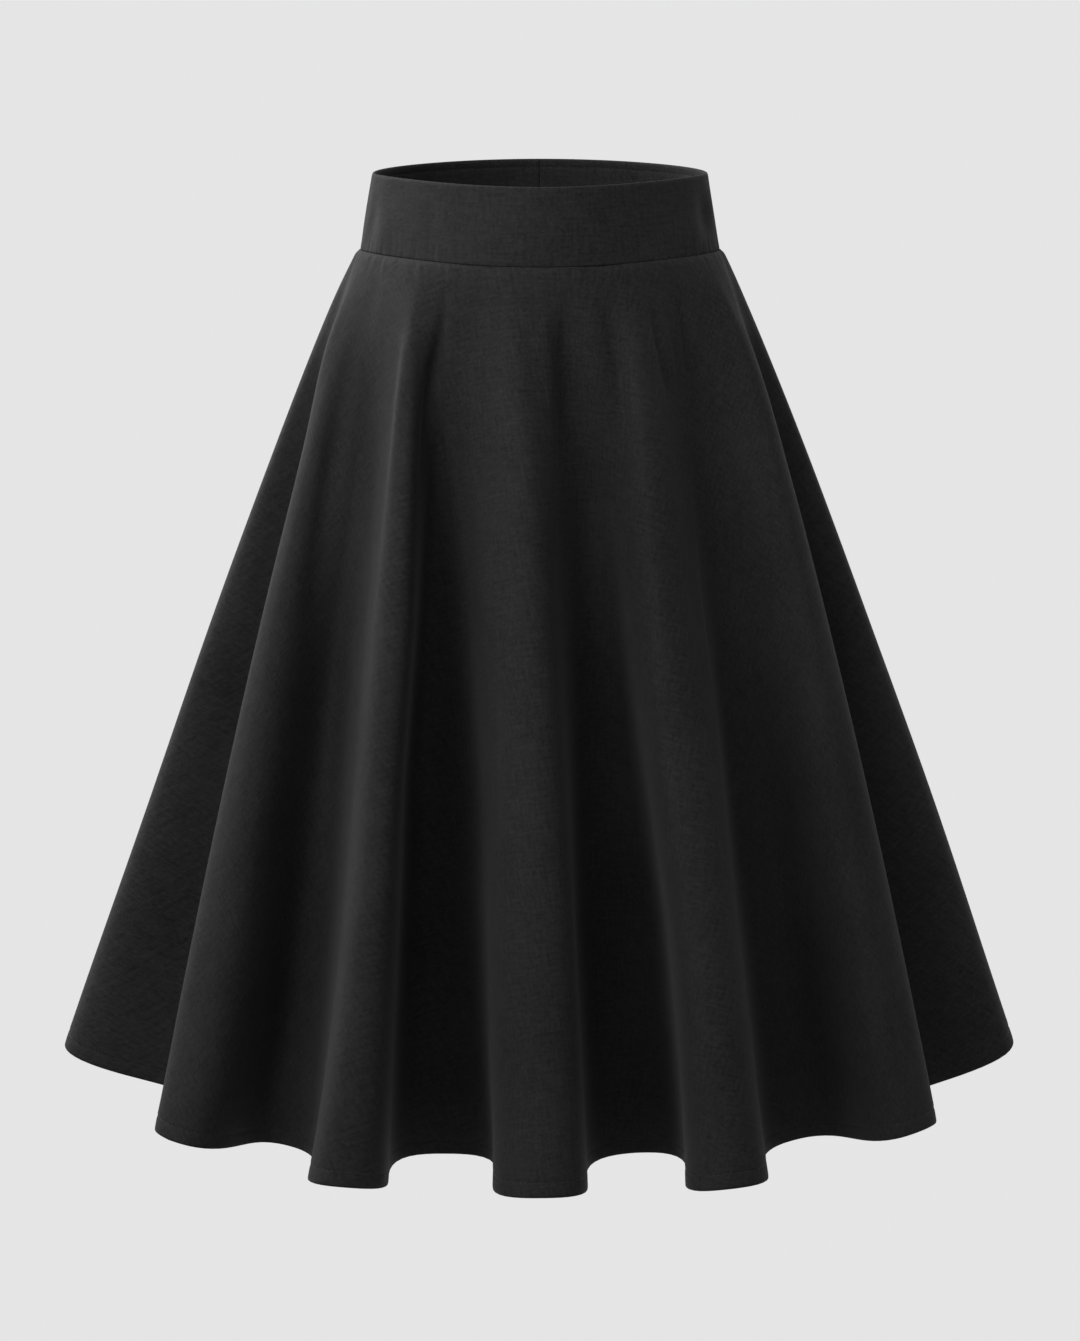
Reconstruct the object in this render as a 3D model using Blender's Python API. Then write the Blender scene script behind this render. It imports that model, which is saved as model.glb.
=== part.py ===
"""High-waisted a-line skirt, filled out as when worn, built as walls of cloth.

A wide waistband of doubled cloth, in a front and two back pieces, is sewn to a flared skirt of two panels.
The skirt hangs in twelve deep folds. Each fold is a row of FOLDS, with the places of its crest and of the
valley to its right, at the waist seam and at the hem. The sections between are worked out from how cloth
hangs: it keeps its length down every line from seam to hem, and bends from crest to valley in one smooth
curve that runs further round the deeper the fold is.

Units are metres. +Z is up, -Y is the front and +X is the viewer's right. The origin is the middle of the
waist at the top edge, where the wearer holds the skirt up.
"""

import math

import bmesh
import bpy
import numpy as np

# Waistband, 67 cm round its top edge
WAIST_HALF_WIDTH = 0.1205
WAIST_HALF_DEPTH = 0.0892
BAND_HEIGHT = 0.055
BAND_WALL = 0.0024

# Waist seam, which lies round the widest part of the band
SEAM_HALF_WIDTH = 0.1296
SEAM_HALF_DEPTH = 0.0960
SEAM_GAP = 0.0003

# How far the rings at the waist narrow towards the side seams, against an ellipse
FRONT_PINCH = 0.45
BACK_PINCH = 0.15

# Skirt panels
SKIRT_LENGTH = 0.65
CLOTH_WALL = 0.0012
HEM_WALL = 0.0022
HEM_TURN = 0.011
SEAM_ROLL = 0.0010
SEAM_ROLL_LENGTH = 0.006

# How the flare and the folds grow from the seam down, as powers of the share of the length
FLARE_POWER = 0.92
FOLD_POWER = 0.72

# Bend of a half fold: how far it runs on along its crest before it turns, in spacings to the valley
SHALLOW_RUN = 0.36
DEEP_RUN = 0.25
MOST_RUN = 1.15

# Faces of the solids
BAND_COLUMNS = 96
FOLD_COLUMNS = 6
FOLD_ROWS = 12
ROW_POWER = 1.3
TURN_CLOSENESS = 0.6

# name; crest: degrees round the waist from centre front, x and y at the hem;
# valley to its right: degrees, x and y at the hem, distance below the seam where it starts; length of both
FOLD_COLUMN_NAMES = (
    "name", "crest_at", "crest_x", "crest_y", "valley_at", "valley_x", "valley_y", "start", "length"
)
FOLDS = (
    ("side_left", -90, -0.358, 0.000, -83, -0.256, -0.046, 0.080, 0.646),
    ("front_1", -74, -0.268, -0.152, -57, -0.180, -0.107, 0.065, 0.656),
    ("front_2", -42, -0.134, -0.256, -30, -0.068, -0.105, 0.030, 0.654),
    ("front_3", -10, 0.000, -0.256, 8, 0.070, -0.118, 0.028, 0.650),
    ("front_4", 25, 0.130, -0.254, 44, 0.190, -0.108, 0.042, 0.652),
    ("front_5", 66, 0.272, -0.150, 81, 0.260, -0.046, 0.070, 0.652),
    ("side_right", 90, 0.358, 0.000, 98, 0.262, 0.050, 0.075, 0.643),
    ("back_5", 110, 0.266, 0.154, 127, 0.178, 0.108, 0.050, 0.654),
    ("back_4", 141, 0.130, 0.250, 157, 0.066, 0.112, 0.034, 0.655),
    ("back_3", 172, -0.004, 0.260, 189, -0.074, 0.106, 0.036, 0.652),
    ("back_2", 206, -0.138, 0.252, 226, -0.184, 0.110, 0.046, 0.656),
    ("back_1", 247, -0.266, 0.150, 262, -0.258, 0.048, 0.065, 0.654),
)

# name, and where it starts and ends, as shares of the way round from the left side seam by way of the front
BAND_PIECES = (
    ("waistband_front", 0.0, 0.5),
    ("waistband_back_right", 0.5, 0.75),
    ("waistband_back_left", 0.75, 1.0),
)
SKIRT_PIECES = (
    ("skirt_front", 0.0, 0.5),
    ("skirt_back", 0.5, 1.0),
)


def clear_scene():
    for obj in list(bpy.data.objects):
        bpy.data.objects.remove(obj)


def collection(name):
    made = bpy.data.collections.new(name)
    bpy.context.scene.collection.children.link(made)
    return made


def cloth_material(name, colour, roughness):
    material = bpy.data.materials.new(name)
    material.use_nodes = True
    shader = material.node_tree.nodes["Principled BSDF"]
    shader.inputs["Base Color"].default_value = (*colour, 1.0)
    shader.inputs["Roughness"].default_value = roughness
    shader.inputs["Metallic"].default_value = 0.0
    material.diffuse_color = (*colour, 1.0)
    return material


def unit(vectors):
    """Vectors at length 1."""
    return vectors / np.linalg.norm(vectors, axis=-1, keepdims=True)


def ring_point(degrees, half_width, half_depth):
    """Plan point of a ring round the waist, at an angle from centre front."""
    angle = math.radians(degrees)
    pinch = FRONT_PINCH if math.cos(angle) > 0 else BACK_PINCH
    depth = half_depth * math.cos(angle) * (1 - pinch * math.sin(angle) ** 2)
    return np.array([half_width * math.sin(angle), -depth])


def seam_point(degrees):
    return ring_point(degrees, SEAM_HALF_WIDTH, SEAM_HALF_DEPTH)


def turning_points():
    """Crests and valleys in order round the skirt, each with its places at the seam and at the hem."""
    points = []
    for row in FOLDS:
        fold = dict(zip(FOLD_COLUMN_NAMES, row))
        for kind in ("crest", "valley"):
            at = fold[f"{kind}_at"]
            hem = np.array([fold[f"{kind}_x"], fold[f"{kind}_y"]])
            point = {"kind": kind, "at": at, "seam": seam_point(at), "hem": hem}
            points.append({**point, "start": fold["start"], "length": fold["length"]})
    for i, point in enumerate(points):
        before, after = points[i - 1]["hem"], points[(i + 1) % len(points)]["hem"]
        point["unfolded"] = point["hem"] if point["kind"] == "crest" else (before + after) / 2
        point["seam_way"] = unit(seam_point(point["at"] + 1) - seam_point(point["at"] - 1))
        point["hem_way"] = unit(after - before)
    return points


def section_at(down, points, columns):
    """Plan points of the skirt at a distance below the seam, the same number between each two turns."""
    share = down / SKIRT_LENGTH
    placed = []
    for point in points:
        flare = (point["unfolded"] - point["seam"]) * share**FLARE_POWER
        below_start = max(0.0, (down - point["start"]) / (SKIRT_LENGTH - point["start"]))
        fold = (point["hem"] - point["unfolded"]) * below_start**FOLD_POWER
        way = unit(point["seam_way"] * (1 - share) + point["hem_way"] * share)
        placed.append((point["seam"] + flare + fold, way))
    runs = []
    for (before, _), (here, way), (after, _) in zip(placed[-1:] + placed[:-1], placed, placed[1:] + placed[:1]):
        runs.append(way * run_length((here - before, after - here), way))
    halves = []
    for i, (here, _) in enumerate(placed):
        after = (i + 1) % len(placed)
        halves.append(half_fold(here, runs[i], placed[after][0], runs[after], columns))
    return np.concatenate(halves)


def run_length(steps, way):
    """How far the cloth runs along a crest or valley before it turns, from the steps to its two neighbours."""
    spacing = sum(abs(step @ way) for step in steps) / 2
    depth = sum(abs(step[0] * way[1] - step[1] * way[0]) for step in steps) / 2
    return spacing * min(MOST_RUN, SHALLOW_RUN + DEEP_RUN * (depth / spacing) ** 2)


def turn_shares(columns):
    """Shares of a half fold's length at which its columns lie, closer together where it turns."""
    even = np.linspace(0, 1, columns + 1)[:-1]
    return even - TURN_CLOSENESS * np.sin(2 * math.pi * even) / (2 * math.pi)


def half_fold(here, run, there, next_run, columns):
    """Points of the curve from a crest to a valley, or back, without its last point."""
    first = here + run
    second = there - next_run
    u = np.linspace(0, 1, 65)[:, None]
    curve = (1 - u) ** 3 * here + 3 * (1 - u) ** 2 * u * first + 3 * (1 - u) * u**2 * second + u**3 * there
    along = np.concatenate([[0], np.cumsum(np.linalg.norm(np.diff(curve, axis=0), axis=1))])
    places = along[-1] * turn_shares(columns)
    return np.stack([np.interp(places, along, curve[:, axis]) for axis in range(2)], axis=1)


def row_distances():
    """Distances below the seam of the rows of faces: close at the seam, the hips and the hem."""
    shares = [(i / FOLD_ROWS) ** ROW_POWER for i in range(1, FOLD_ROWS)]
    between = [SKIRT_LENGTH * share for share in shares if SKIRT_LENGTH * share > 2 * SEAM_ROLL_LENGTH]
    return [0.0, SEAM_ROLL_LENGTH] + between + [SKIRT_LENGTH - HEM_TURN, SKIRT_LENGTH]


def skirt_surface():
    """Rows of points of the skirt's outer face, from the seam to the hem and once round.

    Down every column the cloth keeps its length, so where it spreads outwards it hangs less far down.
    """
    points = turning_points()
    lengths = np.array([point["length"] for point in points])
    between = turn_shares(FOLD_COLUMNS)
    stretch = (lengths[:, None] + (np.roll(lengths, -1) - lengths)[:, None] * between).ravel() / SKIRT_LENGTH
    distances = row_distances()
    plans = []
    for down in distances:
        plan = section_at(down, points, FOLD_COLUMNS)
        roll = SEAM_ROLL * math.sin(math.pi / 2 * min(1.0, down / SEAM_ROLL_LENGTH))
        plans.append(plan + unit(plan) * roll)
    heights = [np.full(len(plans[0]), -BAND_HEIGHT - SEAM_GAP)]
    for i in range(1, len(plans)):
        length = (distances[i] - distances[i - 1]) * stretch
        sideways = np.linalg.norm(plans[i] - plans[i - 1], axis=1)
        heights.append(heights[-1] - np.sqrt(np.maximum(length**2 - sideways**2, 0)))
    return np.dstack([np.array(plans), np.array(heights)]), distances


def band_surface():
    """Rows of points of the waistband's outer face, once round from the left side seam by way of the front."""
    degrees = np.linspace(-90, 270, BAND_COLUMNS, endpoint=False)
    rows = []
    for share in (0.0, 0.5, 1.0):
        half_width = WAIST_HALF_WIDTH + (SEAM_HALF_WIDTH - WAIST_HALF_WIDTH) * share
        half_depth = WAIST_HALF_DEPTH + (SEAM_HALF_DEPTH - WAIST_HALF_DEPTH) * share
        rows.append([(*ring_point(d, half_width, half_depth), -BAND_HEIGHT * share) for d in degrees])
    return np.array(rows)


def inner_face(surface, walls):
    """The other face of a wall that goes once round, at a thickness for each row. Its rims stay level."""
    across = np.roll(surface, -1, axis=1) - np.roll(surface, 1, axis=1)
    normals = unit(np.cross(np.gradient(surface, axis=0), across))
    inside = surface - normals * np.array(walls)[:, None, None]
    inside[0, :, 2] = surface[0, :, 2]
    inside[-1, :, 2] = surface[-1, :, 2]
    return inside


def wall_object(name, outer, inner, home, material):
    """A closed wall between two grids of rows, lofted from column to column, with strips over its ends."""
    made = bmesh.new()
    loops = []
    for column in range(outer.shape[1]):
        points = list(outer[:, column]) + list(inner[::-1, column])
        loops.append([made.verts.new(point) for point in points])
    count = len(loops[0])
    for here, there in zip(loops, loops[1:]):
        for i in range(count):
            after = (i + 1) % count
            made.faces.new((here[i], here[after], there[after], there[i]))
    for i in range(count // 2 - 1):
        for end, turned in ((loops[0], True), (loops[-1], False)):
            strip = (end[i], end[i + 1], end[count - 2 - i], end[count - 1 - i])
            made.faces.new(strip[::-1] if turned else strip)
    mesh = bpy.data.meshes.new(name)
    made.to_mesh(mesh)
    made.free()
    mesh.materials.append(material)
    mesh.shade_smooth()
    mesh.set_sharp_from_angle(angle=math.radians(50))
    home.objects.link(bpy.data.objects.new(name, mesh))


def add_pieces(surface, walls, pieces, home, material):
    """Cuts a wall that goes once round into its pieces, each half a seam gap short of its neighbours."""
    faces = []
    for face in (surface, inner_face(surface, walls)):
        faces.append(np.concatenate([face, face[:, :1]], axis=1))
    last = surface.shape[1]
    for name, start, end in pieces:
        columns = slice(round(start * last), round(end * last) + 1)
        panel = [face[:, columns].copy() for face in faces]
        for face in panel:
            for edge, beside in ((0, 1), (-1, -2)):
                face[:, edge] += unit(face[:, beside] - face[:, edge]) * SEAM_GAP / 2
        wall_object(name, *panel, home, material)


def add_waistband(home, material):
    """The front and two back pieces of doubled cloth, which meet at the sides and at the centre back."""
    surface = band_surface()
    add_pieces(surface, [BAND_WALL] * len(surface), BAND_PIECES, home, material)


def add_skirt(home, material):
    """The front and back panels, which meet down the crests of the two side folds."""
    surface, distances = skirt_surface()
    walls = [HEM_WALL if down >= SKIRT_LENGTH - HEM_TURN else CLOTH_WALL for down in distances]
    add_pieces(surface, walls, SKIRT_PIECES, home, material)


def main():
    clear_scene()
    home = collection("a_line_skirt")
    black_cloth = cloth_material("black_cloth", (0.016, 0.016, 0.017), 0.85)
    add_waistband(home, black_cloth)
    add_skirt(home, black_cloth)


main()
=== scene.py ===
"""Looks of the black a-line skirt: fine cloth shells with their creases, seams, hem and stitches, in a pale studio.

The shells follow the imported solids: the skirt's form is worked out as the model's is, and only the fourth fold at the
front and the valley beside it stand a little differently.
Units are metres. +Z is up, -Y is the front and +X is the viewer's right.
"""

import math

import bpy
import numpy as np
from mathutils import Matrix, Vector


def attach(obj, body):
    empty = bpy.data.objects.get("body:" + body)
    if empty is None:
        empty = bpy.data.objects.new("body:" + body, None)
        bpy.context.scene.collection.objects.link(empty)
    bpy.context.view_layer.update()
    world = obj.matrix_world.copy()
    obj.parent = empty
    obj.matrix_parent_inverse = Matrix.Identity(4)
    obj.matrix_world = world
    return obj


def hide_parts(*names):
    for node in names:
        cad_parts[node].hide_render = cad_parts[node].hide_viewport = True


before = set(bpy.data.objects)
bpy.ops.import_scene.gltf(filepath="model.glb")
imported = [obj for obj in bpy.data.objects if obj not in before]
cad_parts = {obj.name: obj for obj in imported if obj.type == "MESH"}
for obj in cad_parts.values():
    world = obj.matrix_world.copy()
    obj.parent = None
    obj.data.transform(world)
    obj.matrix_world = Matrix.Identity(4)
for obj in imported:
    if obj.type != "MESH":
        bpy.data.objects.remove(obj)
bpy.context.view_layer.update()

# Waistband
WAIST_HALF_WIDTH = 0.1205
WAIST_HALF_DEPTH = 0.0892
BAND_HEIGHT = 0.055
BAND_WALL = 0.0024
SEAM_HALF_WIDTH = 0.1296
SEAM_HALF_DEPTH = 0.0960
SEAM_GAP = 0.0003
FRONT_PINCH = 0.45
BACK_PINCH = 0.15

# Skirt panels
SKIRT_LENGTH = 0.65
CLOTH_WALL = 0.0010
HEM_WALL = 0.0021
HEM_TURN = 0.011
HEM_STITCH_UP = 0.0100
SEAM_ROLL = 0.0010
SEAM_ROLL_LENGTH = 0.006
SIDE_SEAM_PULL = 0.45

# Form of the folds, as in the solids
FLARE_POWER = 0.92
FOLD_POWER = 0.72
SHALLOW_RUN = 0.36
DEEP_RUN = 0.25
MOST_RUN = 1.15
TURN_CLOSENESS = 0.45

# What the cloth adds to that form: its folds start softly, over ONSET and lower by ONSET_SHIFT than in the solids;
# valleys are a little rounder at the hem; and the shift and the turn of a crest fade out towards the hem
ONSET = 0.012
ONSET_SHIFT = 0.007
ONSET_LENGTH = 0.03
HEM_VALLEY_RUN = 1.04
HEM_RUN_POWER = 6
SHIFT_AT_ITS_MOST = 27 / 4
TURN_LOST_AT_HEM = 0.5
TURN_LOSS_POWER = 5

# Flat cut of a skirt panel: a ring sector of this inner radius and angle, in radians
CUT_RADIUS = 0.155
CUT_ANGLE = 2.225

# Relief of the cloth: how deep its slow waves are, and for puckers and ditches their depth and their reach
SKIRT_UNEVENNESS = 0.0007
SKIRT_CALM_LENGTH = 0.05
SKIRT_SEAM_PUCKER = (0.00022, 0.014)
SEAM_PUCKER_START = 0.004
HEM_PUCKER = (0.00016, 0.006)
HEM_STITCH_DITCH = (0.00035, 0.0012)
SKIRT_SEAM_DITCH = (0.00015, 0.0008)
BAND_UNEVENNESS = 0.00035
BAND_SEAM_PUCKER = (0.00018, 0.010)
BAND_SEAM_DITCH = (0.00018, 0.0008)
BAND_STITCH_DITCH = (0.00035, 0.0009)
BAND_STITCH_DOWN = 0.006
HEM_ROLL_FLATNESS = 0.6

# Width of a crease at its top and at the most, in shares of its width at the middle
CREASE_TOP_WIDTH = 0.55
CREASE_MOST_WIDTH = 2.0

# How far the band's columns next to a seam sink in from outside and from inside, the seam's own first
BAND_SEAM_SINK = (1.0, 0.55, 0.2)
OUTER_SINK = 0.0005
INNER_SINK = 0.0006

# Faces of the shells
FOLD_COLUMNS = 22
SKIRT_ROWS = 134
BAND_COLUMNS = 640
BAND_ROWS = 18
CURVE_POINTS = 129
# Rows that lie close: below the waist seam and above the hem, and on the band below its top edge and above its seam
SKIRT_TOP_ROWS = (0.0, 0.0006, 0.0014, 0.0026, 0.0042, 0.0062, 0.0088)
SKIRT_HEM_ROWS = (0.0165, 0.0135, 0.0117, 0.0107, 0.0100, 0.0093, 0.0083, 0.0060, 0.0035, 0.0016, 0.0)
BAND_TOP_ROWS = (0.0, 0.0012, 0.0022, 0.0034, 0.0046, 0.0053, 0.0060, 0.0067, 0.0075, 0.0090)
BAND_SEAM_ROWS = (0.0060, 0.0042, 0.0028, 0.0018, 0.0011, 0.0005, 0.0)
ROW_CLOSENESS = 0.15

# Charts of the shells in their texture square
CHART_EDGE = 0.01
SKIRT_CHART_STEP = 0.5
BAND_CHART_STEP = 0.4
BAND_CHART_TOP = 0.2
BAND_CHART_SCALE = 0.36

# name; crest: degrees round the waist from centre front, x and y at the hem;
# valley to its right: degrees, x and y at the hem; for both, distance below the seam where they start, and length
FOLD_COLUMN_NAMES = (
    "name", "crest_at", "crest_x", "crest_y", "valley_at", "valley_x", "valley_y", "start", "length"
)
FOLDS = (
    ("side_left", -90, -0.358, 0.000, -83, -0.256, -0.046, 0.080, 0.646),
    ("front_1", -74, -0.268, -0.152, -57, -0.180, -0.107, 0.065, 0.656),
    ("front_2", -42, -0.134, -0.256, -30, -0.068, -0.105, 0.030, 0.654),
    ("front_3", -10, 0.000, -0.256, 8, 0.070, -0.118, 0.028, 0.650),
    ("front_4", 29, 0.128, -0.254, 44, 0.179, -0.108, 0.042, 0.652),
    ("front_5", 66, 0.272, -0.150, 81, 0.260, -0.046, 0.070, 0.652),
    ("side_right", 90, 0.358, 0.000, 98, 0.262, 0.050, 0.075, 0.643),
    ("back_5", 110, 0.266, 0.154, 127, 0.178, 0.108, 0.050, 0.654),
    ("back_4", 141, 0.130, 0.250, 157, 0.066, 0.112, 0.034, 0.655),
    ("back_3", 172, -0.004, 0.260, 189, -0.074, 0.106, 0.036, 0.652),
    ("back_2", 206, -0.138, 0.252, 226, -0.184, 0.110, 0.046, 0.656),
    ("back_1", 247, -0.266, 0.150, 262, -0.258, 0.048, 0.065, 0.654),
)

# How round each turn is: the share of its usual run that the cloth takes to the left and to the right of a crest and
# of the valley after it, between waist and hem, then left and right of the crest at the hem; how far the crest stands
# to the right a third of the way down, in metres; and how far it faces to the left, in degrees
TURN_COLUMN_NAMES = (
    "name", "crest_left", "crest_right", "valley_left", "valley_right", "hem_left", "hem_right",
    "crest_shift", "crest_turn",
)
TURNS = (
    ("side_left", 1.00, 1.00, 1.00, 1.00, 1.00, 1.00, 0.000, 0),
    ("front_1", 1.00, 1.20, 0.80, 0.90, 0.90, 1.10, -0.006, 0),
    ("front_2", 0.50, 0.80, 0.95, 0.65, 0.92, 0.97, 0.003, -9),
    ("front_3", 0.60, 0.85, 0.90, 0.70, 0.97, 0.92, 0.000, 6),
    ("front_4", 0.50, 0.80, 0.75, 1.15, 1.02, 1.06, -0.006, 22),
    ("front_5", 0.80, 1.35, 1.00, 1.00, 0.90, 1.05, 0.010, 0),
    ("side_right", 1.00, 1.00, 1.00, 1.00, 1.00, 1.00, 0.000, 0),
    ("back_5", 0.95, 0.75, 0.90, 0.80, 0.95, 0.92, 0.004, 8),
    ("back_4", 0.65, 0.90, 0.90, 0.70, 0.90, 0.95, -0.003, -10),
    ("back_3", 0.85, 0.65, 0.75, 0.90, 0.95, 0.92, 0.004, 12),
    ("back_2", 0.90, 0.65, 0.80, 0.95, 0.92, 0.95, 0.005, -8),
    ("back_1", 1.10, 0.90, 0.90, 0.90, 1.00, 0.92, -0.004, 0),
)

# Creases between the main folds. Each runs from its top by its middle to its bottom, given in degrees round the waist
# and in millimetres below the seam. "left" and "right" are the widths of its two flanks at the middle and "height" is
# how far it stands out, or in where it is negative, all in millimetres.
CREASE_COLUMN_NAMES = (
    "top_at", "top_down", "middle_at", "middle_down", "bottom_at", "bottom_down", "left", "right", "height"
)
CREASES = (
    # front
    (13.5, 10, 13.6, 85, 7, 175, 15, 10, 5.0),
    (18.5, 12, 22.2, 85, 16, 200, 5, 5, -4.8),
    (34, 14, 35.5, 66, 38, 120, 4, 4, -2.4),
    (37.5, 24, 38.5, 66, 39, 120, 4, 4, 2.4),
    (44.5, 20, 45.8, 65, 45, 260, 5, 8, -3.6),
    (-42, 28, -43, 80, -43.5, 300, 6, 6, 2.2),
    (-44.3, 28, -44.3, 120, -44.3, 480, 3.5, 5, 1.4),
    (-30, 12, -33.3, 66, -37.5, 180, 4.5, 5, -4.6),
    (-29, 20, -29.5, 95, -28, 200, 4, 10, 2.8),
    (7, 10, 5, 60, 3, 170, 5, 8, -3.2),
    (1, 10, -0.3, 75, -3, 230, 14, 4, 4.0),
    (-8, 12, -7.4, 110, -10, 520, 7, 12, 2.8),
    (-14.6, 230, -15.1, 340, -15.6, 500, 4, 3, -1.0),
    (-59.7, 35, -60, 150, -57, 340, 8, 12, 3.0),
    (-66.6, 40, -65.5, 165, -64.4, 330, 7, 7, -3.2),
    (-20, 20, -19, 120, -21, 300, 12, 16, 1.0),
    (30, 10, 31, 75, 30, 320, 16, 12, 3.4),
    (42, 120, 38, 250, 36, 560, 18, 5, 1.8),
    (54, 34, 56, 110, 57, 260, 10, 14, 1.4),
    (73, 35, 77, 110, 77, 260, 8, 9, -2.0),
    (64, 12, 67, 75, 68, 170, 8, 10, 1.8),
    (-76, 14, -78, 80, -82, 230, 7, 9, 2.6),
    # back
    (100, 30, 101, 100, 102, 220, 9, 12, 1.8),
    (119, 26, 120, 90, 119, 210, 9, 8, -1.8),
    (134, 20, 135, 90, 133, 190, 12, 14, 2.4),
    (149, 24, 148, 70, 150, 160, 6, 7, -1.8),
    (163, 20, 165, 85, 169, 170, 15, 12, 3.2),
    (180, 22, 180, 100, 178, 230, 9, 9, -1.5),
    (195, 26, 196, 90, 199, 240, 12, 9, 1.9),
    (214, 18, 213, 70, 216, 150, 6, 6, -1.7),
    (233, 30, 235, 110, 236, 260, 12, 10, 1.7),
    (252, 36, 253, 110, 252, 230, 8, 9, -1.4),
)

# Shallow dents and swells of the band: degrees round the waist, metres below the top edge, spread in degrees and in
# metres, height in metres
BAND_DENTS = (
    (-74, 0.036, 6.0, 0.016, -0.0016),
    (-62, 0.040, 5.0, 0.015, 0.0008),
    (70, 0.030, 6.0, 0.014, -0.0016),
    (58, 0.040, 6.0, 0.013, 0.0008),
    (82, 0.022, 5.0, 0.012, 0.0009),
    (112, 0.036, 7.0, 0.016, -0.0012),
    (-112, 0.034, 7.0, 0.016, -0.0012),
    (176, 0.030, 6.0, 0.014, -0.0007),
)

# Waves of the cloth: turns round the waist, radians a metre down, phase, share
UNEVENNESS = (
    (7, 9.0, 0.4, 0.5), (11, -13.0, 2.1, 0.5), (17, 17.0, 4.0, 0.35), (23, -7.0, 1.2, 0.3), (31, 23.0, 5.2, 0.2),
)
SEAM_PUCKERS = (
    (61, 0.0, 0.3, 0.5), (89, 40.0, 1.7, 0.4), (127, -60.0, 3.9, 0.35), (43, 30.0, 5.0, 0.4),
)
HEM_PUCKERS = (
    (151, 0.0, 0.9, 0.5), (211, 60.0, 2.4, 0.4), (97, -50.0, 4.4, 0.5),
)

# The pieces: solid, where it starts and ends as shares of the way round from the left side seam, flat length of a band
PANELS = (
    ("skirt_front", 0.0, 0.5),
    ("skirt_back", 0.5, 1.0),
)
BANDS = (
    ("waistband_front", 0.0, 0.5, 0.345),
    ("waistband_back_right", 0.5, 0.75, 0.173),
    ("waistband_back_left", 0.75, 1.0, 0.173),
)
BAND_GIRTH = 0.69

# Stitches: distance from one to the next, length, radius of the thread
HEM_STITCH = (0.0033, 0.0026, 0.00014)
BAND_STITCH = (0.0030, 0.0023, 0.00013)
STITCH_SIDES = 6
# Sections of a stitch: share of its length, height of its middle and thickness in radii of the thread
STITCH_PROFILE = (
    (0.0, -0.9, 0.35), (0.12, 0.1, 0.9), (0.35, 0.45, 1.0), (0.65, 0.45, 1.0), (0.88, 0.1, 0.9), (1.0, -0.9, 0.35),
)

# Studio: a round room whose floor runs up into its wall
FLOOR_LEVEL = -1.02
FLOOR_RADII = (1.0, 3.0, 6.0)
COVE_RADIUS = 2.5
COVE_STEPS = 12
WALL_TOP = 7.0
ROOM_SIDES = 96
ROOM_GLOW = 0.785
WORLD_GLOW = 0.75
LIGHTS_AIM = (0, 0, -0.15)
# name, degrees round from the front (the viewer's right is positive), degrees up, distance, size, power
LIGHTS = (
    ("key", -42, 44, 2.0, (0.9, 1.2), 58),
    ("side", -78, 14, 2.0, (0.9, 1.2), 17),
    ("wrap_left", -124, 30, 1.4, (0.6, 0.9), 42),
    ("wrap_right", 136, 20, 1.8, (0.6, 0.9), 9),
    ("fill", -4, 8, 3.5, (1.0, 1.0), 7),
    ("fill_high", 22, 42, 1.4, (0.7, 0.7), 3.5),
)
CAMERA_PLACE = (0, -2.871, 0.3321)
CAMERA_DOWN = 13.71
CAMERA_LENS = 107.2
CAMERA_SENSOR = 36


def unit(vectors):
    """Vectors at length 1."""
    return vectors / np.linalg.norm(vectors, axis=-1, keepdims=True)


def smooth(x):
    """0 below 0, 1 above 1, and a soft step between."""
    x = np.clip(x, 0, 1)
    return x * x * (3 - 2 * x)


def ridge(distances, middle, depth, reach):
    """A soft ridge round the waist with its crest at one distance, as a column for a grid of rows."""
    return depth * np.exp(-(((distances - middle) / reach) ** 2))[:, None]


def share_of_ring(start, end, columns):
    """Columns from one share of the way round to another, both edges in."""
    return slice(round(start * columns), round(end * columns) + 1)


def closed_ring(values, axis=0):
    """Values round the waist with the first one again at the end."""
    return np.concatenate([values, np.take(values, [0], axis=axis)], axis=axis)


def ring_point(degrees, half_width, half_depth):
    """Plan point of a ring round the waist, at an angle from centre front."""
    angle = math.radians(degrees)
    pinch = FRONT_PINCH if math.cos(angle) > 0 else BACK_PINCH
    depth = half_depth * math.cos(angle) * (1 - pinch * math.sin(angle) ** 2)
    return np.array([half_width * math.sin(angle), -depth])


def seam_point(degrees):
    """Plan point of the waist seam."""
    return ring_point(degrees, SEAM_HALF_WIDTH, SEAM_HALF_DEPTH)


def turning_points():
    """Crests and valleys in order round the skirt, each with its places at the seam and at the hem."""
    points = []
    for row, turn_row in zip(FOLDS, TURNS):
        fold = dict(zip(FOLD_COLUMN_NAMES, row))
        turn = dict(zip(TURN_COLUMN_NAMES, turn_row))
        for kind in ("crest", "valley"):
            at = fold[f"{kind}_at"]
            point = {"kind": kind, "at": at, "start": fold["start"], "length": fold["length"]}
            point["seam"] = seam_point(at)
            point["hem"] = np.array([fold[f"{kind}_x"], fold[f"{kind}_y"]])
            point["middle_runs"] = np.array([turn[f"{kind}_left"], turn[f"{kind}_right"]])
            if kind == "crest":
                point["hem_runs"] = np.array([turn["hem_left"], turn["hem_right"]])
                point["shift"] = np.array([turn["crest_shift"], 0.0])
                point["turn"] = math.radians(turn["crest_turn"])
            else:
                point["hem_runs"] = np.maximum(point["middle_runs"], HEM_VALLEY_RUN)
                point["shift"] = np.zeros(2)
                point["turn"] = 0.0
            points.append(point)
    for i, point in enumerate(points):
        before, after = points[i - 1]["hem"], points[(i + 1) % len(points)]["hem"]
        point["unfolded"] = point["hem"] if point["kind"] == "crest" else (before + after) / 2
        point["seam_way"] = unit(seam_point(point["at"] + 1) - seam_point(point["at"] - 1))
        point["hem_way"] = unit(after - before)
    return points


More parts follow.
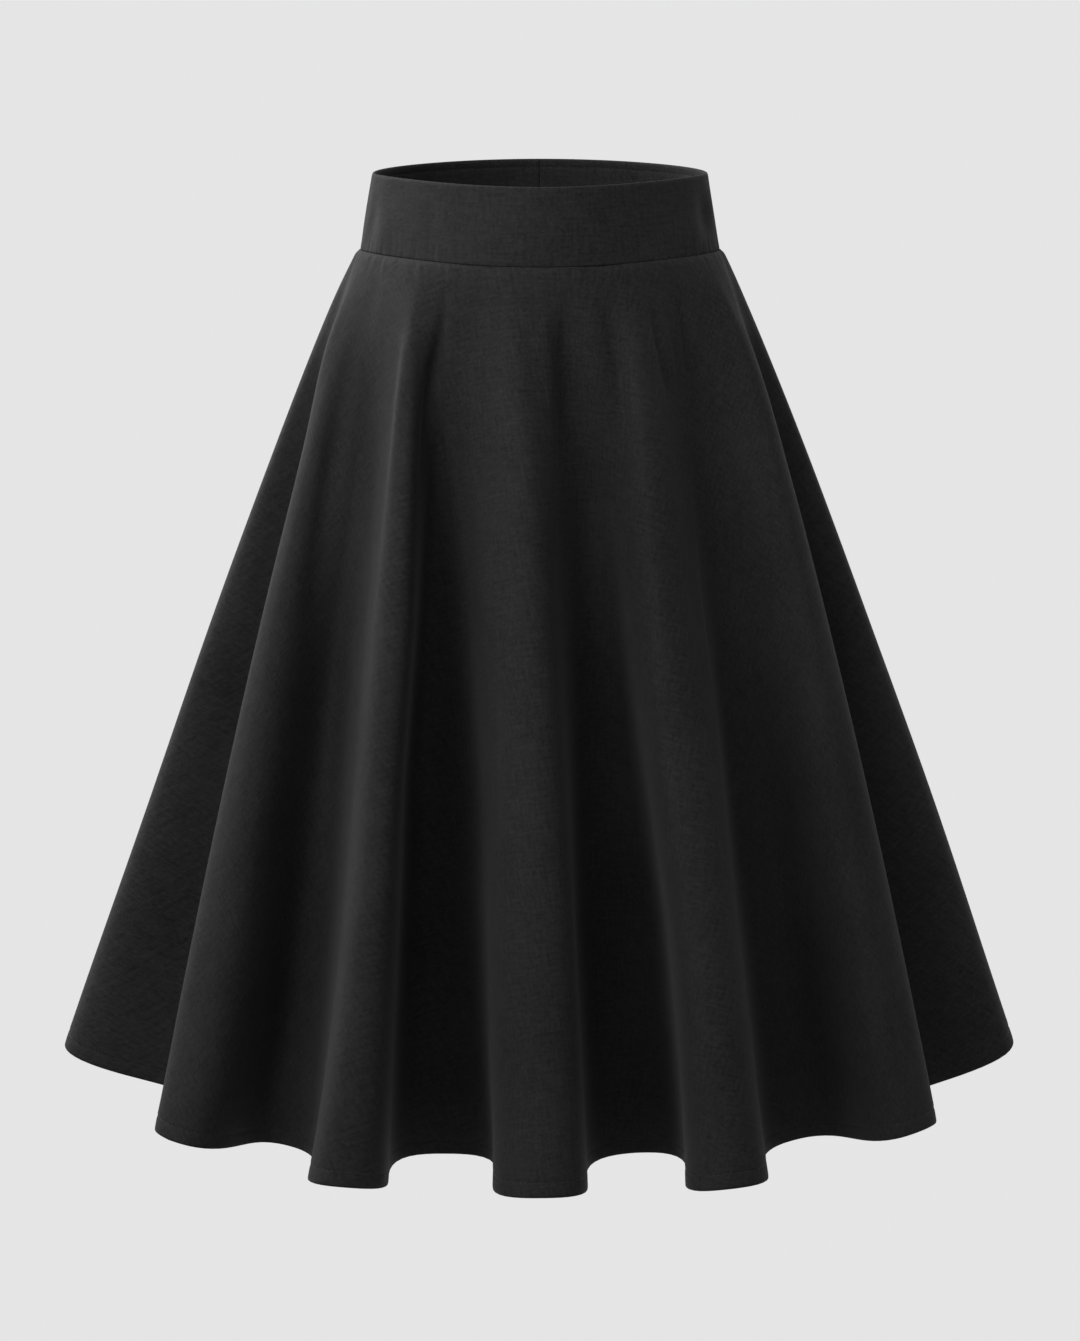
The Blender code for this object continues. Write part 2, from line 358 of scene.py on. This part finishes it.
def place_at(down, point):
    """Where a crest or valley stands at a distance below the seam, and which way the cloth runs through it."""
    share = down / SKIRT_LENGTH
    flare = (point["unfolded"] - point["seam"]) * share**FLARE_POWER
    below = ONSET * math.log1p(math.exp((down - point["start"] - ONSET_SHIFT) / ONSET))
    below_start = below * float(smooth(down / ONSET_LENGTH)) / (SKIRT_LENGTH - point["start"])
    fold = (point["hem"] - point["unfolded"]) * below_start**FOLD_POWER
    shift = point["shift"] * SHIFT_AT_ITS_MOST * share * (1 - share) ** 2
    way = unit(point["seam_way"] * (1 - share) + point["hem_way"] * share)
    turned = point["turn"] * math.sqrt(share) * (1 - TURN_LOST_AT_HEM * share**TURN_LOSS_POWER)
    cosine, sine = math.cos(turned), math.sin(turned)
    way = np.array([way[0] * cosine + way[1] * sine, way[1] * cosine - way[0] * sine])
    return point["seam"] + flare + fold + shift, way


def run_length(steps, way):
    """How far the cloth runs along a crest or valley before it turns, from the steps to its two neighbours."""
    spacing = sum(abs(step @ way) for step in steps) / 2
    depth = sum(abs(step[0] * way[1] - step[1] * way[0]) for step in steps) / 2
    return spacing * min(MOST_RUN, SHALLOW_RUN + DEEP_RUN * (depth / spacing) ** 2)


def turn_shares(columns):
    """Shares of a half fold's length at which its columns lie, closer together where it turns."""
    even = np.linspace(0, 1, columns + 1)[:-1]
    return even - TURN_CLOSENESS * np.sin(2 * math.pi * even) / (2 * math.pi)


def half_fold(here, run, there, next_run, columns):
    """Points of the curve from a crest to a valley, or back, without its last point."""
    first = here + run
    second = there - next_run
    u = np.linspace(0, 1, CURVE_POINTS)[:, None]
    curve = (1 - u) ** 3 * here + 3 * (1 - u) ** 2 * u * first + 3 * (1 - u) * u**2 * second + u**3 * there
    along = np.concatenate([[0], np.cumsum(np.linalg.norm(np.diff(curve, axis=0), axis=1))])
    places = along[-1] * turn_shares(columns)
    return np.stack([np.interp(places, along, curve[:, axis]) for axis in range(2)], axis=1)


def section_at(down, points, columns):
    """Plan points of the skirt at a distance below the seam, the same number between each two turns."""
    placed = [place_at(down, point) for point in points]
    hem_share = (down / SKIRT_LENGTH) ** HEM_RUN_POWER
    runs = []
    for i, point in enumerate(points):
        (before, _), (here, way), (after, _) = placed[i - 1], placed[i], placed[(i + 1) % len(placed)]
        left, right = point["middle_runs"] + (point["hem_runs"] - point["middle_runs"]) * hem_share
        run = way * run_length((here - before, after - here), way)
        runs.append((run * left, run * right))
    halves = []
    for i, (here, _) in enumerate(placed):
        after = (i + 1) % len(placed)
        halves.append(half_fold(here, runs[i][1], placed[after][0], runs[after][0], columns))
    return np.concatenate(halves)


def row_distances():
    """Distances below the seam of the skirt's rows: close at the seam and at the hem, even between."""
    bottom = SKIRT_LENGTH - np.array(SKIRT_HEM_ROWS)
    top = np.array(SKIRT_TOP_ROWS)
    shares = np.linspace(0, 1, SKIRT_ROWS + 1 - len(top) - len(bottom))[1:-1]
    shares = shares - ROW_CLOSENESS * np.sin(math.pi * shares) * (1 - shares)
    return np.concatenate([top, top[-1] + (bottom[0] - top[-1]) * shares, bottom])


def skirt_surface(distances):
    """Rows of points of the skirt's outer face, and for each column its degrees round the waist."""
    points = turning_points()
    between = turn_shares(FOLD_COLUMNS)
    lengths = np.array([point["length"] for point in points])
    stretch = (lengths[:, None] + (np.roll(lengths, -1) - lengths)[:, None] * between).ravel() / SKIRT_LENGTH
    ats = np.array([point["at"] for point in points] + [points[0]["at"] + 360])
    degrees = (ats[:-1, None] + np.diff(ats)[:, None] * between).ravel()
    plans = []
    for down in distances:
        plan = section_at(down, points, FOLD_COLUMNS)
        roll = SEAM_ROLL * math.sin(math.pi / 2 * min(1.0, down / SEAM_ROLL_LENGTH))
        plans.append(plan + unit(plan) * roll)
    heights = [np.full(len(plans[0]), -BAND_HEIGHT - SEAM_GAP)]
    for i in range(1, len(plans)):
        length = (distances[i] - distances[i - 1]) * stretch
        sideways = np.linalg.norm(plans[i] - plans[i - 1], axis=1)
        heights.append(heights[-1] - np.sqrt(np.maximum(length**2 - sideways**2, 0)))
    return np.dstack([np.array(plans), np.array(heights)]), degrees


def outward(surface):
    """Normals of a surface that goes once round."""
    across = np.roll(surface, -1, axis=1) - np.roll(surface, 1, axis=1)
    return unit(np.cross(np.gradient(surface, axis=0), across))


def arcs(surface):
    """Distance round each row from its first column, and the length once round."""
    steps = np.linalg.norm(np.roll(surface, -1, axis=1) - surface, axis=2)
    along = np.cumsum(steps, axis=1)
    return along - steps, along[:, -1:]


def crease_height(surface, degrees, distances):
    """How far the creases stand out of the main folds, over the whole surface."""
    along, total = arcs(surface)
    height = np.zeros(along.shape)
    wrapped = np.append(degrees, degrees[0] + 360)
    for row in CREASES:
        crease = dict(zip(CREASE_COLUMN_NAMES, row))
        top, middle, bottom = (crease[f"{part}_down"] / 1000 for part in ("top", "middle", "bottom"))
        ats = [crease[f"{part}_at"] for part in ("top", "middle", "bottom")]
        path = np.polyval(np.polyfit((top, middle, bottom), ats, 2), np.clip(distances, top, bottom))
        from_top = (distances - top) / (middle - top)
        share = smooth(from_top) * (1 - smooth((distances - middle) / (bottom - middle)))
        spread = CREASE_TOP_WIDTH + (1 - CREASE_TOP_WIDTH) * np.maximum(from_top, 0)
        spread = np.minimum(spread, CREASE_MOST_WIDTH)
        for i in np.flatnonzero(share > 0):
            centre = np.interp(path[i], wrapped, np.append(along[i], total[i]))
            offset = (along[i] - centre + total[i] / 2) % total[i] - total[i] / 2
            width = np.where(offset < 0, crease["left"], crease["right"]) / 1000 * spread[i]
            height[i] += crease["height"] / 1000 * share[i] * np.exp(-((offset / width) ** 2))
    return height


def waves(degrees, distances, rows):
    """Unevenness of the cloth, from a few crossed waves that close round the waist."""
    total = np.zeros((len(distances), len(degrees)))
    for turns, per_metre, phase, share in rows:
        across = np.radians(degrees)[None, :] * turns
        total += share * np.sin(across + distances[:, None] * per_metre + phase)
    return total


def piece(name, rows, flat, uvs, inside, chart_step, home, material):
    """A closed wall from a ring of rows of points, where the first row follows the last.

    The inside rows lie on their own chart, chart_step above the other. Faces that join the two stay on the lower one.
    """
    count, columns = rows.shape[:2]
    here = np.arange(count)[:, None] * columns + np.arange(columns - 1)[None, :]
    below = (np.arange(count)[:, None] + 1) % count * columns + np.arange(columns - 1)[None, :]
    faces = [tuple(face) for face in np.stack([here, below, below + 1, here + 1], axis=-1).reshape(-1, 4).tolist()]
    for i in range((count - 1) // 2):
        across = list(dict.fromkeys((i, i + 1, count - 2 - i, count - 1 - i)))
        faces.append(tuple(row * columns for row in across[::-1]))
        faces.append(tuple((row + 1) * columns - 1 for row in across))
    mesh = bpy.data.meshes.new(name)
    mesh.from_pydata(rows.reshape(-1, 3).tolist(), [], faces)
    made = mesh.attributes.new("cloth", "FLOAT_VECTOR", "POINT")
    made.data.foreach_set("vector", flat.reshape(-1).astype(np.float32))

    corners = np.empty(len(mesh.loops), dtype=np.int32)
    mesh.loops.foreach_get("vertex_index", corners)
    firsts = np.empty(len(mesh.polygons), dtype=np.int32)
    mesh.polygons.foreach_get("loop_start", firsts)
    counts = np.diff(np.append(firsts, len(corners)))
    inside_corners = np.repeat(inside, columns)[corners]
    inside_counts = np.add.reduceat(inside_corners.astype(int), firsts)
    joining = np.repeat((inside_counts > 0) & (inside_counts < counts), counts)
    corner_uvs = uvs.reshape(-1, 2)[corners]
    corner_uvs[joining & inside_corners, 1] -= chart_step
    layer = mesh.uv_layers.new(name="OFBake")
    layer.uv.foreach_set("vector", corner_uvs.reshape(-1).astype(np.float32))
    return add_object(name, mesh, home, material)


def add_object(name, mesh, home, material):
    """A smooth object of a mesh, in a collection."""
    mesh.materials.append(material)
    mesh.shade_smooth()
    obj = bpy.data.objects.new(name, mesh)
    home.objects.link(obj)
    return obj


def cloth_material():
    """Fine black weave: threads and their sheen, with slow changes of colour and gloss. All procedural."""
    material = bpy.data.materials.new("black_cloth_weave")
    material.use_nodes = True
    nodes, links = material.node_tree.nodes, material.node_tree.links
    shader = nodes["Principled BSDF"]
    shader.inputs["Metallic"].default_value = 0.0
    shader.inputs["Specular IOR Level"].default_value = 0.05
    shader.inputs["Sheen Weight"].default_value = 0.03
    shader.inputs["Sheen Roughness"].default_value = 0.45
    shader.inputs["Sheen Tint"].default_value = (0.75, 0.74, 0.76, 1.0)

    def add(kind, settings, **attributes):
        """A node with the constants of its sockets."""
        node = nodes.new(kind)
        for key, value in attributes.items():
            setattr(node, key, value)
        for socket, value in settings.items():
            node.inputs[socket].default_value = value
        return node

    place = add("ShaderNodeAttribute", {}, attribute_name="cloth").outputs["Vector"]

    def threads(direction):
        """Threads of 0.4 mm that run across one direction of the cloth."""
        settings = {"Scale": 380.0, "Distortion": 1.0, "Detail": 1.0, "Detail Scale": 0.6}
        node = add("ShaderNodeTexWave", settings, bands_direction=direction, wave_profile="SIN")
        links.new(place, node.inputs["Vector"])
        return node.outputs["Fac"]

    def noise(scale, detail):
        """Even noise."""
        node = add("ShaderNodeTexNoise", {"Scale": scale, "Detail": detail, "Roughness": 0.5})
        links.new(place, node.inputs["Vector"])
        return node.outputs["Fac"]

    def streaks(across, down):
        """Noise drawn out along the threads, from how fine it is across and down the cloth."""
        drawn = add("ShaderNodeMapping", {"Scale": (across, down, 1.0)})
        links.new(place, drawn.inputs["Vector"])
        node = add("ShaderNodeTexNoise", {"Scale": 1.0, "Detail": 3.0, "Roughness": 0.55})
        links.new(drawn.outputs["Vector"], node.inputs["Vector"])
        return node.outputs["Fac"]

    def reckon(operation, *values):
        """A math node over outputs and constants."""
        node = add("ShaderNodeMath", {}, operation=operation)
        for socket, value in zip(node.inputs, values):
            if isinstance(value, float):
                socket.default_value = value
            else:
                links.new(value, socket)
        return node.outputs[0]

    def total(*parts):
        """Sum of (output, share) pairs."""
        scaled = [reckon("MULTIPLY", output, share) for output, share in parts]
        whole = scaled[0]
        for part in scaled[1:]:
            whole = reckon("ADD", whole, part)
        return whole

    # Threads both ways, with thicker yarns here and there and a short nap over them
    weave = reckon("MAXIMUM", threads("X"), threads("Y"))
    weft_yarns = streaks(90.0, 700.0)
    warp_yarns = streaks(700.0, 90.0)
    surface = total((weave, 0.55), (weft_yarns, 0.8), (warp_yarns, 0.7), (noise(2600.0, 2.0), 0.35))

    fine = add("ShaderNodeBump", {"Strength": 0.45, "Distance": 0.00025})
    slow = add("ShaderNodeBump", {"Strength": 0.6, "Distance": 0.0007})
    links.new(surface, fine.inputs["Height"])
    links.new(noise(30.0, 3.0), slow.inputs["Height"])
    links.new(slow.outputs["Normal"], fine.inputs["Normal"])
    links.new(fine.outputs["Normal"], shader.inputs["Normal"])

    slubs = total((streaks(60.0, 420.0), 0.5), (streaks(420.0, 60.0), 0.5))
    mottle = total(
        (noise(11.0, 3.0), 0.22), (slubs, 0.54), (weft_yarns, 0.12), (warp_yarns, 0.10), (noise(420.0, 2.0), 0.36)
    )
    ramp = nodes.new("ShaderNodeValToRGB")
    dark, light = ramp.color_ramp.elements
    dark.position, dark.color = 0.54, (0.0048, 0.0047, 0.0048, 1.0)
    light.position, light.color = 0.80, (0.0112, 0.0108, 0.0110, 1.0)
    links.new(mottle, ramp.inputs["Fac"])
    links.new(ramp.outputs["Color"], shader.inputs["Base Color"])
    gloss = reckon("ADD", reckon("MULTIPLY", noise(60.0, 2.0), 0.14), 0.70)
    links.new(gloss, shader.inputs["Roughness"])
    return material


def thread_material():
    """Black sewing thread, a little glossier than the cloth, with its twist."""
    material = bpy.data.materials.new("sewing_thread")
    material.use_nodes = True
    nodes, links = material.node_tree.nodes, material.node_tree.links
    shader = nodes["Principled BSDF"]
    shader.inputs["Roughness"].default_value = 0.55
    shader.inputs["Specular IOR Level"].default_value = 0.15
    shader.inputs["Sheen Weight"].default_value = 0.05
    twist = nodes.new("ShaderNodeTexNoise")
    twist.inputs["Scale"].default_value = 1800.0
    twist.inputs["Detail"].default_value = 1.0
    ramp = nodes.new("ShaderNodeValToRGB")
    dark, light = ramp.color_ramp.elements
    dark.color, light.color = (0.004, 0.004, 0.004, 1.0), (0.010, 0.0098, 0.010, 1.0)
    relief = nodes.new("ShaderNodeBump")
    relief.inputs["Strength"].default_value = 0.4
    relief.inputs["Distance"].default_value = 0.0001
    links.new(twist.outputs["Fac"], ramp.inputs["Fac"])
    links.new(twist.outputs["Fac"], relief.inputs["Height"])
    links.new(ramp.outputs["Color"], shader.inputs["Base Color"])
    links.new(relief.outputs["Normal"], shader.inputs["Normal"])
    return material


def flat_cut(degrees, distances):
    """Places in the flat cut of the panels, in metres: each is a sector of a ring."""
    front = (degrees + 90) / 180
    share = np.where(front <= 1, front, front - 1)
    angle = (share - 0.5) * CUT_ANGLE
    radius = CUT_RADIUS + distances[:, None]
    return np.dstack([radius * np.sin(angle), -radius * np.cos(angle), np.zeros_like(radius * angle)])


def skirt_relief(surface, degrees, distances):
    """How far the cloth stands out of the main folds: creases, waves, puckers and the ditches of the two seams."""
    from_hem = SKIRT_LENGTH - distances
    height = crease_height(surface, degrees, distances)
    uneven = SKIRT_UNEVENNESS * smooth(distances / SKIRT_CALM_LENGTH)[:, None]
    height += waves(degrees, distances, UNEVENNESS) * uneven
    near_seam = ridge(distances, 0, *SKIRT_SEAM_PUCKER) * smooth(distances / SEAM_PUCKER_START)[:, None]
    height += waves(degrees, distances, SEAM_PUCKERS) * near_seam
    height += waves(degrees, distances, HEM_PUCKERS) * ridge(from_hem, HEM_STITCH_UP, *HEM_PUCKER)
    height -= ridge(from_hem, HEM_STITCH_UP, *HEM_STITCH_DITCH)
    height -= ridge(distances, 0, *SKIRT_SEAM_DITCH)
    return height[:, :, None]


def hem_roll(outer, normals):
    """Three rows that carry the outer face round the hem's edge to the inner one."""
    middle = outer[-1] - normals[-1] * HEM_WALL / 2
    down = unit(outer[-1] - outer[-4])
    rows = []
    for turn in (30, 90, 150):
        angle = math.radians(turn)
        way = normals[-1] * math.cos(angle) + down * math.sin(angle) * HEM_ROLL_FLATNESS
        rows.append(middle + way * HEM_WALL / 2)
    return np.array(rows)


def add_skirt(home, material):
    """The two panels. Also gives the outer face, its normals and its rows' distances, for the stitches."""
    distances = row_distances()
    surface, degrees = skirt_surface(distances)
    outer = surface + outward(surface) * skirt_relief(surface, degrees, distances)
    normals = outward(outer)

    # The wall is double up to the turn-up's edge, and single above it
    wall = np.where(SKIRT_LENGTH - distances <= HEM_TURN, HEM_WALL, CLOTH_WALL)
    inner = outer - normals * wall[:, None, None]
    inner[0, :, 2] = outer[0, :, 2]
    roll = hem_roll(outer, normals)
    grid = closed_ring(np.concatenate([outer[:-1], roll, inner[:-1][::-1]]), axis=1)
    row_downs = np.concatenate([distances[:-1], [SKIRT_LENGTH] * len(roll), distances[:-1][::-1]])
    cut = closed_ring(flat_cut(degrees, row_downs), axis=1)
    inside = np.arange(len(grid)) >= len(outer) + 1

    panels = []
    for node, start, end in PANELS:
        columns = share_of_ring(start, end, len(degrees))
        rows, flat = grid[:, columns].copy(), cut[:, columns].copy()
        middle_of_wall = (rows + rows[::-1]) / 2
        for edge, side in ((0, -1), (-1, 1)):
            flat[:, edge, 0] = side * (CUT_RADIUS + row_downs) * math.sin(CUT_ANGLE / 2)
            flat[:, edge, 1] = -(CUT_RADIUS + row_downs) * math.cos(CUT_ANGLE / 2)
            # The side seams sink in a little, and each panel's edge stops just short of the other's
            rows[:, edge] += (middle_of_wall[:, edge] - rows[:, edge]) * SIDE_SEAM_PULL
        scale = (0.5 - CHART_EDGE) / (CUT_RADIUS + SKIRT_LENGTH)
        low = flat[..., 1].min()
        uvs = np.stack([0.5 + flat[..., 0] * scale, CHART_EDGE + (flat[..., 1] - low) * scale], axis=-1)
        uvs[inside, :, 1] += SKIRT_CHART_STEP
        panels.append(piece(f"{node}_cloth", rows, flat, uvs, inside, SKIRT_CHART_STEP, home, material))
    return panels, outer, normals, distances


def band_distances():
    """Distances below the top edge of the band's rows: close at the edges and at the stitches."""
    seam = BAND_HEIGHT - np.array(BAND_SEAM_ROWS)
    even = np.linspace(BAND_TOP_ROWS[-1], seam[0], BAND_ROWS)[1:-1]
    return np.concatenate([BAND_TOP_ROWS, even, seam])


def band_relief(degrees, downs):
    """How far the band stands out of its plain form: waves, puckers, the ditch of the waist seam and the dents."""
    from_seam = BAND_HEIGHT - downs
    swell = np.sin(math.pi * downs / BAND_HEIGHT)[:, None]
    height = waves(degrees, downs, UNEVENNESS) * BAND_UNEVENNESS * swell
    height += waves(degrees, downs, SEAM_PUCKERS) * ridge(from_seam, 0, *BAND_SEAM_PUCKER)
    height -= ridge(from_seam, 0, *BAND_SEAM_DITCH)
    for at, down, wide, tall, depth in BAND_DENTS:
        away = (degrees - at + 180) % 360 - 180
        height += np.exp(-((away / wide) ** 2))[None, :] * ridge(downs, down, depth, tall)
    return height[:, :, None]


def add_waistband(home, material):
    """The band's three pieces. Also gives the inner face, its normals and its rows' distances, for the stitches."""
    degrees = np.linspace(-90, 270, BAND_COLUMNS, endpoint=False)
    downs = band_distances()
    surface = []
    for down in downs:
        share = down / BAND_HEIGHT
        half_width = WAIST_HALF_WIDTH + (SEAM_HALF_WIDTH - WAIST_HALF_WIDTH) * share
        half_depth = WAIST_HALF_DEPTH + (SEAM_HALF_DEPTH - WAIST_HALF_DEPTH) * share
        surface.append([(*ring_point(at, half_width, half_depth), -down) for at in degrees])
    surface = np.array(surface)
    normals = outward(surface)
    outer = surface + normals * band_relief(degrees, downs)
    ditch = ridge(downs, BAND_STITCH_DOWN, *BAND_STITCH_DITCH)[:, :, None]
    inner = outer - normals * (BAND_WALL - ditch)

    # The top edge is rounded: the rows that lie in its round give way to five that carry the wall over
    over = (outer[0] + inner[0]) / 2 - np.array([0, 0, BAND_WALL / 2])
    up = np.array([0, 0, 1.0])
    top = []
    for turn in (150, 120, 90, 60, 30):
        angle = math.radians(turn)
        top.append(over + (normals[0] * math.cos(angle) + up * math.sin(angle)) * BAND_WALL / 2)
    keep = downs > BAND_WALL / 2
    kept = keep.sum()
    grid = closed_ring(np.concatenate([outer[keep], inner[keep][::-1], np.array(top)]), axis=1)
    row_downs = np.concatenate([downs[keep], downs[keep][::-1], [0.0] * len(top)])
    inside = np.arange(len(grid)) >= kept

    bands = []
    for node, start, end, _ in BANDS:
        rows = grid[:, share_of_ring(start, end, BAND_COLUMNS)].copy()
        centre = (rows[:kept].mean(axis=0) + rows[kept:].mean(axis=0)) / 2
        for i, amount in enumerate(BAND_SEAM_SINK):
            for edge in (i, -1 - i):
                inward = -unit(np.append(centre[edge, :2], 0))
                rows[:kept, edge] += inward * OUTER_SINK * amount
                rows[kept:2 * kept, edge] -= inward * INNER_SINK * amount
        flat = np.zeros(rows.shape)
        flat[..., 0] = np.linspace(0, (end - start) * BAND_GIRTH, rows.shape[1])[None, :]
        flat[..., 1] = -row_downs[:, None]
        uvs = np.array([CHART_EDGE, BAND_CHART_TOP]) + flat[..., :2] / BAND_CHART_SCALE
        uvs[inside, :, 1] += BAND_CHART_STEP
        bands.append(piece(f"{node}_cloth", rows, flat, uvs, inside, BAND_CHART_STEP, home, material))
    return bands, inner, normals, downs


def stitches(name, starts, ends, outs, radius, home, material):
    """A row of stitches: each a short thread that rises from its hole, lies flat and dips into the next."""
    vertices, faces = [], []
    ring_turns = [2 * math.pi * k / STITCH_SIDES for k in range(STITCH_SIDES)]
    for start, end, out in zip(starts, ends, outs):
        length = np.linalg.norm(end - start)
        along = (end - start) / length
        side = np.cross(along, out)
        first = len(vertices)
        for share, lift, thick in STITCH_PROFILE:
            middle = start + along * length * share + out * radius * lift
            for turn in ring_turns:
                vertices.append(middle + (side * math.cos(turn) + out * math.sin(turn)) * radius * thick)
        last = len(vertices) - STITCH_SIDES
        for ring in range(first, last, STITCH_SIDES):
            for k in range(STITCH_SIDES):
                a, b = ring + k, ring + (k + 1) % STITCH_SIDES
                faces.append((a, a + STITCH_SIDES, b + STITCH_SIDES, b))
        faces.append(tuple(range(first, first + STITCH_SIDES)))
        faces.append(tuple(range(last, last + STITCH_SIDES))[::-1])
    mesh = bpy.data.meshes.new(name)
    mesh.from_pydata([tuple(vertex) for vertex in vertices], [], faces)
    return add_object(name, mesh, home, material)


def row_stitches(name, line, outs, sizes, home, material):
    """Stitches along an open line of points, evenly spaced."""
    pitch, length, radius = sizes
    along = np.concatenate([[0], np.cumsum(np.linalg.norm(np.diff(line, axis=0), axis=1))])
    count = int((along[-1] - pitch) / pitch)
    places = pitch / 2 + np.arange(count) * (along[-1] - pitch) / count

    def at(values, where):
        return np.stack([np.interp(where, along, values[:, k]) for k in range(3)], axis=1)

    starts, ends = at(line, places), at(line, places + length)
    return stitches(name, starts, ends, unit(at(outs, places + length / 2)), radius, home, material)


def add_room():
    """The pale room. Its paper only glows, so that the light in it is even."""
    profile = [(radius, FLOOR_LEVEL) for radius in FLOOR_RADII]
    for step in range(1, COVE_STEPS + 1):
        angle = math.pi / 2 * step / COVE_STEPS
        out, up = COVE_RADIUS * math.sin(angle), COVE_RADIUS * (1 - math.cos(angle))
        profile.append((FLOOR_RADII[-1] + out, FLOOR_LEVEL + up))
    profile.append((FLOOR_RADII[-1] + COVE_RADIUS, WALL_TOP))
    vertices = [(0.0, 0.0, FLOOR_LEVEL)]
    for radius, height in profile:
        for k in range(ROOM_SIDES):
            angle = 2 * math.pi * k / ROOM_SIDES
            vertices.append((radius * math.cos(angle), radius * math.sin(angle), height))
    faces = [(0, 1 + k, 1 + (k + 1) % ROOM_SIDES) for k in range(ROOM_SIDES)]
    for ring in range(len(profile) - 1):
        for k in range(ROOM_SIDES):
            a = 1 + ring * ROOM_SIDES + k
            b = 1 + ring * ROOM_SIDES + (k + 1) % ROOM_SIDES
            faces.append((a, a + ROOM_SIDES, b + ROOM_SIDES, b))
    mesh = bpy.data.meshes.new("studio_floor")
    mesh.from_pydata(vertices, [], faces)
    paper = bpy.data.materials.new("studio_paper")
    paper.use_nodes = True
    nodes, links = paper.node_tree.nodes, paper.node_tree.links
    nodes.remove(nodes["Principled BSDF"])
    glow = nodes.new("ShaderNodeEmission")
    glow.inputs["Strength"].default_value = ROOM_GLOW
    links.new(glow.outputs["Emission"], nodes["Material Output"].inputs["Surface"])
    add_object("studio_floor", mesh, bpy.context.scene.collection, paper)


def add_light(name, azimuth, elevation, distance, size, power):
    """A soft white light that the camera doesn't see."""
    turn, rise = math.radians(azimuth), math.radians(elevation)
    way = Vector((math.sin(turn) * math.cos(rise), -math.cos(turn) * math.cos(rise), math.sin(rise)))
    light = bpy.data.lights.new(name, "AREA")
    light.shape = "RECTANGLE"
    light.size, light.size_y = size
    light.energy = power
    obj = bpy.data.objects.new(name, light)
    obj.location = Vector(LIGHTS_AIM) + way * distance
    obj.rotation_euler = (-way).to_track_quat("-Z", "Y").to_euler()
    obj.visible_camera = False
    bpy.context.scene.collection.objects.link(obj)


def add_studio():
    """The room, the lights and the camera at the photograph's viewing angle."""
    scene = bpy.context.scene
    scene.view_settings.view_transform = "Standard"
    scene.world = bpy.data.worlds.new("studio")
    scene.world.use_nodes = True
    background = scene.world.node_tree.nodes["Background"]
    background.inputs["Color"].default_value = (1, 1, 1, 1)
    background.inputs["Strength"].default_value = WORLD_GLOW
    add_room()
    for row in LIGHTS:
        add_light(*row)
    camera = bpy.data.cameras.new("camera")
    camera.lens = CAMERA_LENS
    camera.sensor_width = CAMERA_SENSOR
    scene.camera = bpy.data.objects.new("camera", camera)
    scene.camera.location = CAMERA_PLACE
    scene.camera.rotation_euler = (math.radians(90 - CAMERA_DOWN), 0, 0)
    scene.collection.objects.link(scene.camera)


def main():
    """The skirt's pieces with what stands for which solid, then the studio."""
    home = bpy.data.collections.new("a_line_skirt_looks")
    bpy.context.scene.collection.children.link(home)
    cloth = cloth_material()
    thread = thread_material()

    bands, band_inner, band_normals, band_downs = add_waistband(home, cloth)
    for obj, (node, _, _, _) in zip(bands, BANDS):
        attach(obj, "root")
        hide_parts(node)

    panels, outer, normals, distances = add_skirt(home, cloth)
    row = int(np.argmin(abs(SKIRT_LENGTH - distances - HEM_STITCH_UP)))
    line, outs = closed_ring(outer[row]), closed_ring(normals[row])
    for obj, (node, start, end) in zip(panels, PANELS):
        part = share_of_ring(start, end, outer.shape[1])
        sewn = row_stitches(f"{node}_hem_stitches", line[part], outs[part], HEM_STITCH, home, thread)
        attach(sewn, "root")
        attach(obj, "root")
        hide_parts(node)

    row = int(np.argmin(abs(band_downs - BAND_STITCH_DOWN)))
    line, outs = closed_ring(band_inner[row]), -closed_ring(band_normals[row])
    for obj, (node, start, end, length) in zip(bands, BANDS):
        part = share_of_ring(start, end, BAND_COLUMNS)
        sewn = row_stitches(f"{node}_stitches", line[part], outs[part], BAND_STITCH, home, thread)
        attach(sewn, "root")
    add_studio()


main()
